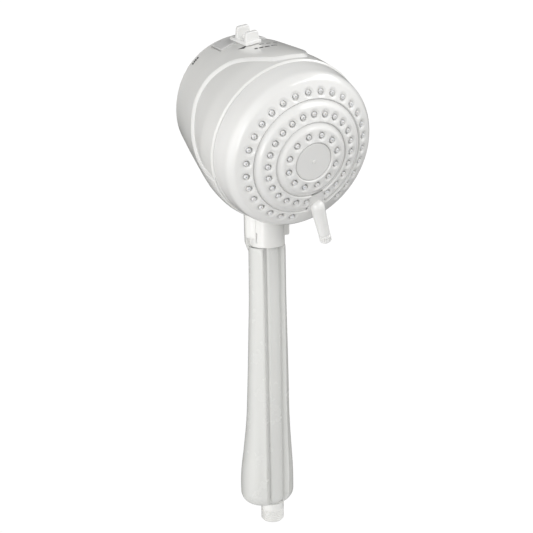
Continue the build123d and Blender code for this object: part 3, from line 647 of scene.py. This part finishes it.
def bead_part():
    """Bevel that steps down from the rear housing to the middle band."""
    back_curve, front_curve = seam_curve(), seam_front()
    end = 109.6
    angles = np.linspace(-end, end, 1000) - SEAM_TURN
    back, front = seam_at(angles, back_curve), seam_at(angles, front_curve)
    front = np.maximum(front, back + 0.02)
    rows = []
    shape = [(0.0, 0.5), (0.004, 0.3), (0.02, 0.2), (0.05, 0.14), (0.1, 0.12), (0.16, 0.13)]
    for t, inset in shape:
        z = back * (1 - t) + front * t
        rows.append((skin_radius(z) - inset, z))
    rows.insert(0, (skin_radius(back) - WALL, back))
    for u in np.linspace(0.0, 1.0, 14)[1:]:
        t = 0.16 + 0.82 * u
        z = back * (1 - t) + front * t
        high, low = skin_radius(z) - 0.13, band_radius(z) - 0.04
        rows.append((high + (low - high) * (0.85 * u + 0.15 * u * u), z))
    rows.append((band_radius(front) - 0.25, front))
    rows.append((skin_radius(front) - WALL, front))
    a = np.radians(angles)
    points = np.array([np.stack([r * np.sin(a), r * np.cos(a), z], -1) for r, z in rows])
    return grid_part(points, wrap_cols=False, cap_cols=True)


def band_part():
    """Middle band: side panels joined by a narrow strip over the top, with a bevelled front rim."""
    curve = seam_front()
    end = 107.8
    angles = np.linspace(-end, end, 1000) - SEAM_TURN
    back = seam_at(angles, curve)
    rim = np.full(len(angles), BAND_OUTLINE[0][1])
    back = np.minimum(back, rim - 0.05)
    rows = [(skin_radius(back) - WALL, back)]
    steps = [(0.0, 0.4), (0.004, 0.12), (0.015, 0.0)] + [(t, 0.0) for t in np.linspace(0.03, 1.0, 40)]
    for t, inset in steps:
        z = back * (1 - t) + rim * t
        rows.append((band_radius(z) - inset, z))
    for radius, z in ((54.8, -24.45), (54.68, -24.3), (54.1, -23.4), (54.0, -23.28), (53.8, -23.2),
                      (52.6, -23.2)):
        rows.append((np.full(len(angles), radius), np.full(len(angles), z)))
    a = np.radians(angles)
    points = np.array([np.stack([r * np.sin(a), r * np.cos(a), z], -1) for r, z in rows])
    return grid_part(points, wrap_cols=False, cap_cols=True)


def shrink(outline, inset):
    """Closed 2-D outline moved inward by a small distance."""
    p = np.asarray(outline, float)
    ahead, behind = np.roll(p, -1, axis=0), np.roll(p, 1, axis=0)
    along = ahead - behind
    along /= np.linalg.norm(along, axis=1)[:, None]
    area = np.sum(p[:, 0] * ahead[:, 1] - ahead[:, 0] * p[:, 1])
    side = np.stack([-along[:, 1], along[:, 0]], -1) * (1 if area > 0 else -1)
    return p + side * inset


def pad_part(outline, low, high, bevel, place):
    """Bevelled pad: an outline raised between two heights, placed by a function of (u, v, height)."""
    centre = np.mean(outline, axis=0)
    steps = [(0.0, low), (0.0, high - bevel), (bevel * 0.1, high - bevel * 0.5),
             (bevel * 0.4, high - bevel * 0.12),
             (bevel, high)]
    rows = [(shrink(outline, inset), h) for inset, h in steps]
    top = rows[-1][0]
    for keep in (0.8, 0.6, 0.4, 0.2, 0.01):
        rows.append((centre + (top - centre) * keep, high))
    points = np.array([place(uv[:, 0], uv[:, 1], np.full(len(uv), h)) for uv, h in rows])
    return grid_part(points, wrap_rows=False, cap_rows=True)


def on_skin(middle_deg, middle_z):
    """Placing function for a pad that lies on the drum skin; u runs round the drum and v along it."""
    def place(u, v, height):
        z = middle_z + v
        radius = skin_radius(z)
        a = math.radians(middle_deg) + u / float(skin_radius(middle_z))
        return np.stack([(radius + height) * np.sin(a), (radius + height) * np.cos(a), z], -1)
    return place


def box_outline(width, height, radius, steps=5, along=4):
    """Rectangle with rounded corners and extra points along its sides."""
    w, h = width / 2, height / 2
    corners = [(-w, -h), (w, -h), (w, h), (-w, h)]
    points = []
    for i, a in enumerate(corners):
        b = corners[(i + 1) % 4]
        points += [np.array(a) + (np.array(b) - np.array(a)) * t for t in np.arange(along) / along]
    rounded = []
    for i, b in enumerate(points):
        a, c = points[i - 1], points[(i + 1) % len(points)]
        if i % along:
            rounded.append(b)
            continue
        start = b + (a - b) / np.linalg.norm(a - b) * radius
        end = b + (c - b) / np.linalg.norm(c - b) * radius
        for k in range(steps + 1):
            t = k / steps
            rounded.append((1 - t) ** 2 * start + 2 * t * (1 - t) * b + t ** 2 * end)
    return np.array(rounded)


def turned(part, degrees):
    """Part turned about the drum axis, from the top toward +X."""
    points, faces = part
    a = math.radians(degrees)
    turn = np.array([[math.cos(a), -math.sin(a), 0], [math.sin(a), math.cos(a), 0], [0, 0, 1]])
    return points @ turn, faces


def fin_part(z):
    """Tapered fin of the selector knob with rounded top corners."""
    foot = float(skin_radius(z)) + 1.0
    outline = []
    for (x, y), radius in (((-5.35, foot), 0.1), ((-4.1, FIN_TOP_R), 1.6), ((4.1, FIN_TOP_R), 1.6),
                           ((5.35, foot), 0.1)):
        outline.append((x, y, radius))
    points = []
    for i, (x, y, radius) in enumerate(outline):
        b = np.array([x, y])
        a = np.array(outline[i - 1][:2])
        c = np.array(outline[(i + 1) % 4][:2])
        start = b + (a - b) / np.linalg.norm(a - b) * radius
        end = b + (c - b) / np.linalg.norm(c - b) * radius
        for k in range(7):
            t = k / 6
            points.append((1 - t) ** 2 * start + 2 * t * (1 - t) * b + t ** 2 * end)
    points = np.array(points)
    rows = []
    for inset, depth in ((0.9, -1.4), (0.45, -1.36), (0.15, -1.2), (0.02, -0.9), (0.0, 0.0), (0.02, 0.9),
                         (0.15, 1.2),
                         (0.45, 1.36), (0.9, 1.4)):
        ring = shrink(points, inset)
        swell = 0.5 * (FIN_TOP_R - ring[:, 1]) / 8.0
        rows.append(np.stack([ring[:, 0], ring[:, 1], z + depth * (1 + swell)], -1))
    return grid_part(np.array(rows), wrap_rows=False, cap_rows=True)


def knob_part():
    """Selector knob: saddle, two fins, the rib between them and the stem."""
    length = SADDLE_FRONT - SADDLE_REAR
    middle = (SADDLE_FRONT + SADDLE_REAR) / 2
    width = 2 * math.radians(SADDLE_HALF_DEG) * float(skin_radius(middle))
    saddle = pad_part(box_outline(width, length, 2.2), 0.5, 2.8, 1.1, on_skin(0, middle))
    gap = FIN_Z[0] - FIN_Z[1]
    rib = pad_part(box_outline(2.6, gap, 0.4), 1.5, 4.6, 0.6, on_skin(0, sum(FIN_Z) / 2))
    stem = pad_part(box_outline(4.4, 5.2, 0.5), -3.2, 1.0, 0.2, on_skin(0, SLOT_Z))
    return turned(join_parts([saddle, rib, stem] + [fin_part(z) for z in FIN_Z]), -KNOB_ANGLE)


def marks_and_knob_shadow_part():
    """Generic setting marks: a pointer, bars that grow thinner, and short dashes; the dash just ahead of the
    knob's front right corner is a painted shadow of the knob.
    """
    parts = []
    for angle, z, width, height in MARKS_AND_KNOB_SHADOW:
        parts.append(pad_part(box_outline(width, height, 0.35), -0.1, 0.1, 0.05, on_skin(angle, z)))
    angle, z, width, height = ARROW
    tip = soften([(-width / 2, -height / 2), (width / 2, -height / 2), (0.0, height / 2)], 0.3)
    parts.append(pad_part(tip, -0.1, 0.1, 0.05, on_skin(angle, z)))
    return join_parts(parts)


def slim(part):
    """Drum part drawn in toward the rear on its sides and underside."""
    points, faces = part
    points = np.array(points, float)
    flat = points.reshape(-1, 3)
    from_top = np.degrees(np.abs(np.arctan2(flat[:, 0], flat[:, 1])))
    back = np.clip((SLIM_START - flat[:, 2]) / (SLIM_START - DRUM_REAR), 0, 1)
    flat[:, :2] *= (1 - SLIM_SHARE * back * ease((from_top - 40.0) / 60.0))[:, None]
    return flat, faces


def build_drum():
    """Rear housing, bead, band, rear cap, slider and marks, one of them a painted shadow ahead of the knob.
    """
    add_piece("drum_housing", slim(housing_part()), FIXED, SHELL, ["rear_housing"])
    add_piece("drum_bead", slim(bead_part()), FIXED, TRIM, ["seam_bead"])
    add_piece("drum_band", slim(band_part()), FIXED, SHELL, ["middle_band"])
    length = 2 * SLOT_HALF_Z - 1.0
    width = 2 * math.radians(SLIDER_HALF_DEG) * float(skin_radius(SLOT_Z))
    slide = pad_part(box_outline(width, length, 0.8, 5, 16), -1.3, SLIDER_RISE, 0.9,
                     on_skin(-KNOB_ANGLE, SLOT_Z))
    add_piece("selector_slide", slide, SELECTOR, SATIN, ["slider_plate"])
    add_piece("drum_rear_cap", slim(rear_cap_part()), FIXED, SHELL, ["rear_cap"])
    add_piece("selector_knob", knob_part(), SELECTOR, TRIM, ["bypass_knob"])
    add_piece("housing_marks_and_knob_shadow", slim(marks_and_knob_shadow_part()), FIXED, INK_AND_SHADOW, ["setting_marks"])


# ------------------------------------------------------------------ handle and neck

def handle_size(z):
    """Half width, half depth and rear shift of the handle at a height."""
    table = np.array(HANDLE)[::-1]
    spots = np.array([np.clip(z + d, table[0, 0], table[-1, 0]) for d in (-8, -4, 0, 4, 8)])
    return [float(np.mean([np.interp(s, table[:, 0], table[:, k]) for s in spots])) for k in (1, 2, 3)]


def handle_outline(z, inset=0.0):
    """Slice of the handle at one height with the two grooves of its front."""
    half_x, half_y, shift = handle_size(z)
    up = max(0.0, HANDLE_BOTTOM + FOOT_ROUND - z)
    curl = FOOT_ROUND - math.sqrt(max(FOOT_ROUND ** 2 - up ** 2, 0.0))
    half_x, half_y = half_x - inset - curl, half_y - inset - curl
    marks = np.concatenate([np.linspace(0, 0.9, 70), np.linspace(0.9, math.pi, 60)[1:]])
    t = np.concatenate([-marks[::-1][:-1], marks])[:-1]
    x = half_x * np.sin(t)
    y = shift - half_y * np.cos(t)
    front = np.cos(t) > 0
    from_foot = min(1.0, max(0.0, (z - HANDLE_BOTTOM) / 20))
    from_collar = min(1.0, max(0.0, (COLLAR_LINE - z) / 4))
    swell = LOBE_SWELL * from_foot * from_collar
    y = y - front * swell * np.exp(-((np.abs(x) - LOBE_CENTRE) / LOBE_WIDTH) ** 2)
    flank = STRIP_FLOOR - (np.abs(x) - STRIP_HALF - 0.3) * FLANK_SLOPE
    floor = np.where(np.abs(x) < STRIP_HALF + 0.3, STRIP_FLOOR, flank)
    cut = front & (np.abs(x) < STRIP_HALF + 3.6)
    y = np.where(cut, np.maximum(y, floor), y)
    return np.stack([x, y, np.full(len(t), z)], -1)


DENT_ANGLE = 248.0
DENT_HALF_DEG = 3.2
DENT_LOW = 207.5
DENT_HIGH = 214.5
YOKE_START_DEG = 70.0
YOKE_R = 15.6
YOKE_HIGH = 210.5
YOKE_LOW = 199.0


def neck_dent(r, a, z):
    """Short upright slot in the left of the collar; `a` runs from +Y toward +X."""
    across = np.clip((DENT_HALF_DEG - np.abs((a - DENT_ANGLE + 180) % 360 - 180)) / 0.8, 0, 1)
    along = np.clip((z - DENT_LOW) / 0.8, 0, 1) * np.clip((DENT_HIGH - z) / 0.8, 0, 1)
    return r - 1.3 * across * along * (r > COLLAR_R - 1.0), z


def ease(value):
    """Smooth step from 0 to 1."""
    t = np.clip(value, 0, 1)
    return t * t * (3 - 2 * t)


def yoke_part():
    """Yoke round the back and sides of the collar; it thins out at the front on -X, and ends square on +X."""
    turn = np.linspace(YOKE_START_DEG, 360 - YOKE_START_DEG, 240)
    side = np.minimum(turn, 360 - turn)
    reach = np.where(turn > 180, 2.0, 30.0)
    swell = ease((side - YOKE_START_DEG) / reach)
    outer = COLLAR_R + 0.2 + (YOKE_R - COLLAR_R - 0.2) * swell
    bottom = YOKE_HIGH - (YOKE_HIGH - YOKE_LOW) * ease((side - 96.0) / 34.0)
    top = 235.0 - 0.38 * outer * np.cos(np.radians(turn))
    rows = []
    for t in np.concatenate([[0.0, 0.012, 0.03, 0.06], np.linspace(0.1, 1.0, 24)]):
        z = bottom * (1 - t) + top * t
        taper = 0.8 * ease(1 - t / 0.04) * swell + 2.2 * ease(1 - t / 0.2) * ease((side - 96.0) / 34.0)
        rows.append((outer - taper, z))
    rows.append((np.full(len(turn), COLLAR_R - 0.4), top))
    rows.append((np.full(len(turn), COLLAR_R - 0.4), bottom + 0.5))
    a = np.radians(turn)
    points = np.array([np.stack([-r * np.sin(a), -r * np.cos(a), z], -1) for r, z in rows])
    return grid_part(points, wrap_cols=False, cap_cols=True)


def rear_cap_part():
    """Low rounded rear cap with finger grips round its rim."""
    profile = np.array([(40.0, -96.4), (43.8, -96.4), (46.75, -97.2), (46.6, -98.0), (46.0, -98.7),
                        (44.6, -99.4),
                        (42.0, -100.0), (38.0, -100.5), (20.0, -101.2), (0.05, -101.4)])
    curve = np.concatenate([profile[:3], spline(profile[3:], 60)])

    def grips(r, a, z):
        beat = np.clip(np.cos(np.radians(a) * 24) - 0.55, 0, 1) / 0.45
        return r - 1.5 * beat ** 0.8 * np.clip((r - 41.0) / 3.0, 0, 1) * (z < -97.0), z

    return grid_part(around(curve, np.arange(720) * 0.5, grips), wrap_rows=False, cap_rows=True)


def build_handle():
    """Grip shell, front strip, neck and hose inlet."""
    low = HANDLE_BOTTOM + FOOT_ROUND * (1 - np.cos(np.linspace(0, math.pi / 2, 14)))
    levels = np.concatenate([low, np.arange(20.5, 202.0, 2.0), [202.4, 203.2, 203.7, 204.0]])
    rows = [handle_outline(z, 0.0 if z < 203 else (z - 203) * 0.35) for z in levels]
    shell = grid_part(np.array(rows), wrap_rows=False, cap_rows=True)
    add_piece("grip_shell", shell, FIXED, SHADED_GRIP, ["handle_shell"], in_drum=False, sharp=30)
    edge, shoulder = STRIP_HALF - 0.9, STRIP_HALF - 2.3
    crown = [(x, STRIP_CROWN + 0.9 * (x / shoulder) ** 2) for x in np.linspace(-shoulder, shoulder, 21)]
    side = [(shoulder + 0.3, STRIP_CROWN + 1.1), (edge - 0.2, STRIP_CROWN + 2.0), (edge, STRIP_CROWN + 2.4)]
    outline = [(-x, y) for x, y in side[::-1]] + crown + side
    x = np.array(outline)[:, 0]
    rows = []
    heights = np.concatenate([STRIP_LOW + np.array([0.0, 0.2, 0.6, 1.2, 2.0, 3.0]),
                              np.arange(20.0, 202.0, 4.0), [202.4, 203.2, STRIP_HIGH]])
    for z in heights:
        sink = 1.9 * max(0.0, 1 - (z - STRIP_LOW) / 3.0) ** 2
        y = np.minimum(np.array(outline)[:, 1] + sink, STRIP_FLOOR)
        top = np.stack([x, y, np.full(len(x), z)], -1)
        base = np.stack([x[::-1], np.full(len(x), STRIP_FLOOR + 0.5), np.full(len(x), z)], -1)
        rows.append(np.concatenate([top, base]))
    add_piece("grip_strip", grid_part(np.array(rows), wrap_rows=False, cap_rows=True), FIXED,
              SHADED_GRIP,
              ["handle_front_strip"], in_drum=False, sharp=30)
    collar = spline([(COLLAR_R - 0.45, COLLAR_LINE + 0.1), (COLLAR_R - 0.1, COLLAR_LINE + 0.4),
                     (COLLAR_R, COLLAR_LINE + 0.9)], 8).tolist()
    collar += [(COLLAR_R, z) for z in np.arange(205.6, 232.1, 0.6)] + [(8.6, 232.0), (8.6, COLLAR_LINE + 0.3)]
    add_piece("neck_ring", ring_part(np.array(collar), 720, neck_dent), FIXED, SHELL,
              ["neck_collar"],
              in_drum=False)
    add_piece("neck_saddle", yoke_part(), FIXED, SHELL, ["neck_yoke"], in_drum=False)
    thread_rows = np.concatenate([[0.0, 0.25, 0.6, 1.0], np.arange(1.2, 9.4, 0.12), [9.6, 10.2, 11.2, 14.0]])
    profile = [(max(0.2, THREAD_R - max(0.0, 1.2 - z) * 0.9), z) for z in thread_rows]
    inner = [(6.0, 14.0), (6.0, 0.0)]

    def helix(r, a, z):
        phase = (z / THREAD_PITCH - a / 360.0) % 1.0
        depth = np.clip(1 - np.abs(phase - 0.5) / 0.34, 0, 1) * 0.8
        fade = np.clip((z - 1.0) / 0.6, 0, 1) * np.clip((9.4 - z) / 0.8, 0, 1) * (r > 7)
        return r - depth * fade, z

    add_piece("hose_inlet", ring_part(np.array(profile + inner), 160, helix), FIXED, SHELL,
              ["inlet_connector"], in_drum=False)


# ------------------------------------------------------------------ carried-over CAD nodes

NODE_LOOKS = {
    "neck_spigot": SATIN,
    "tube_braces": SATIN, "filter_media": FIBRE, "pivot_screw": STEEL, "inlet_screen": STEEL,
    "poppet_spring": STEEL,
}
SEALS = ("rear_cap_oring", "hub_oring", "port_seals", "valve_plate_seal", "cartridge_oring", "tube_orings",
         "restrictor_oring", "poppet_seal")


def dress_nodes():
    """Give every CAD node that stays its own material and clean shading."""
    for name, piece in frame["nodes"].items():
        look = NODE_LOOKS.get(name, SEAL if name in SEALS else INNER)
        piece.data.materials.clear()
        piece.data.materials.append(look)
        if not piece.hide_render:
            shade_node(piece)


def shade_node(piece):
    """Smooth shading with sharp edges above an angle, without touching the vertices."""
    bpy.ops.object.select_all(action="DESELECT")
    bpy.context.view_layer.objects.active = piece
    piece.select_set(True)
    bpy.ops.object.shade_smooth_by_angle(angle=math.radians(30))
    piece.select_set(False)


# ------------------------------------------------------------------ studio

CAMERA_AZIMUTH = -29.9
CAMERA_ELEVATION = 14.0
CAMERA_ROLL = -1.15
CAMERA_SENSOR = 36.0
CAMERA_LENS = 67.542
# the drum centre from the camera: to its right, above its line of sight, and along it (negative is ahead)
HEAD_FROM_CAMERA = (25.4398, 68.109, -622.0)
FLOOR_RADIUS = 0.95
FLOOR_Z = -0.62


def build_camera():
    """Camera at the height and side the object is seen from."""
    az, el = math.radians(CAMERA_AZIMUTH), math.radians(CAMERA_ELEVATION)
    back = np.array([math.sin(az) * math.cos(el), -math.cos(az) * math.cos(el), math.sin(el)])
    right = np.array([math.cos(az), math.sin(az), 0.0])
    up = np.cross(back, right)
    roll = math.radians(CAMERA_ROLL)
    right, up = right * math.cos(roll) + up * math.sin(roll), up * math.cos(roll) - right * math.sin(roll)
    across, above, along = HEAD_FROM_CAMERA
    spot = CENTRE - (across * right + above * up + along * back)
    data = bpy.data.cameras.new("camera")
    camera = bpy.data.objects.new("camera", data)
    bpy.context.scene.collection.objects.link(camera)
    matrix = Matrix.Identity(4)
    for i in range(3):
        matrix[i][0], matrix[i][1], matrix[i][2], matrix[i][3] = right[i], up[i], back[i], spot[i] * 0.001
    camera.matrix_world = matrix
    data.sensor_width = CAMERA_SENSOR
    data.lens = CAMERA_LENS
    data.clip_start = 0.01
    bpy.context.scene.camera = camera


def area_light(name, spot, target, size, power, colour=(1, 1, 1)):
    """Soft rectangular light aimed at a point."""
    data = bpy.data.lights.new(name, "AREA")
    data.shape = "RECTANGLE"
    data.size, data.size_y = size
    data.energy = power
    data.color = colour
    light = bpy.data.objects.new(name, data)
    bpy.context.scene.collection.objects.link(light)
    light.location = spot
    light.rotation_mode = "QUATERNION"
    light.rotation_quaternion = (Vector(target) - Vector(spot)).to_track_quat("-Z", "Y")
    light.visible_camera = False


SKY_LOBES = (
    # azimuth from the front toward +X, elevation, tightness, strength
    (60.0, 27.0, 5.0, 1.5),
    (-84.0, -5.0, 4.7, 1.95),
    (-66.0, 18.0, 4.0, 0.95),
    (16.0, 6.0, 8.0, 1.1),
)
SKY_BASE = 0.06


def toward(azimuth, elevation):
    """Unit direction from azimuth (0 at -Y, positive toward +X) and elevation."""
    a, e = math.radians(azimuth), math.radians(elevation)
    return (math.sin(a) * math.cos(e), -math.cos(a) * math.cos(e), math.sin(e))


def build_sky():
    """Studio surround: broad soft light from three sides, and a white sweep behind."""
    world = bpy.data.worlds.new("studio")
    bpy.context.scene.world = world
    world.use_nodes = True
    tree = world.node_tree
    soft = tree.nodes["Background"]
    out = tree.nodes["World Output"]
    coord = node(tree, "ShaderNodeTexCoord")
    total = None
    for azimuth, elevation, power, strength in SKY_LOBES:
        dot = node(tree, "ShaderNodeVectorMath", operation="DOT_PRODUCT")
        dot.inputs[1].default_value = toward(azimuth, elevation)
        tree.links.new(coord.outputs["Generated"], dot.inputs[0])
        above = node(tree, "ShaderNodeMath", operation="MAXIMUM")
        above.inputs[1].default_value = 0.0
        tree.links.new(dot.outputs["Value"], above.inputs[0])
        shaped = node(tree, "ShaderNodeMath", operation="POWER")
        shaped.inputs[1].default_value = power
        tree.links.new(above.outputs[0], shaped.inputs[0])
        added = node(tree, "ShaderNodeMath", operation="MULTIPLY_ADD")
        added.inputs[1].default_value = strength
        added.inputs[2].default_value = SKY_BASE
        tree.links.new(shaped.outputs[0], added.inputs[0])
        if total is not None:
            tree.links.new(total.outputs[0], added.inputs[2])
        total = added
    soft.inputs["Color"].default_value = (1.0, 0.995, 0.985, 1)
    tree.links.new(total.outputs[0], soft.inputs["Strength"])
    sweep = node(tree, "ShaderNodeBackground", Color=(1.0, 1.0, 1.0, 1), Strength=1.02)
    path = node(tree, "ShaderNodeLightPath")
    mix = node(tree, "ShaderNodeMixShader")
    tree.links.new(path.outputs["Is Camera Ray"], mix.inputs["Fac"])
    tree.links.new(soft.outputs["Background"], mix.inputs[1])
    tree.links.new(sweep.outputs["Background"], mix.inputs[2])
    tree.links.new(mix.outputs["Shader"], out.inputs["Surface"])


def soft_box(name, azimuth, elevation, distance, size, power):
    """Soft box standing round the head of the object."""
    target = CENTRE * 0.001
    spot = target + np.array(toward(azimuth, elevation)) * distance
    area_light(name, spot, target, size, power)


def build_studio():
    """Pale floor, white surround and soft boxes."""
    bpy.context.scene.view_settings.view_transform = "Standard"
    build_sky()
    soft_box("box_right", 50.0, 45.0, 1.2, (1.5, 0.42), 7.0)
    soft_box("box_left", -62.0, -3.0, 1.2, (0.22, 0.68), 1.5)
    floor_mesh = bpy.data.meshes.new("floor")
    n = 96
    rim = [(FLOOR_RADIUS * math.cos(2 * math.pi * i / n), FLOOR_RADIUS * math.sin(2 * math.pi * i / n),
            FLOOR_Z)
           for i in range(n)]
    floor_mesh.from_pydata(rim, [], [list(range(n))])
    floor = bpy.data.objects.new("floor", floor_mesh)
    bpy.context.scene.collection.objects.link(floor)
    floor_mesh.materials.append(plastic("floor_paper", (0.84, 0.84, 0.84), (0.88, 0.88, 0.88), 0.7, 0.05,
                                        0.1))


build_camera()
build_studio()
build_face()
build_drum()
build_handle()
dress_nodes()
bpy.context.view_layer.update()
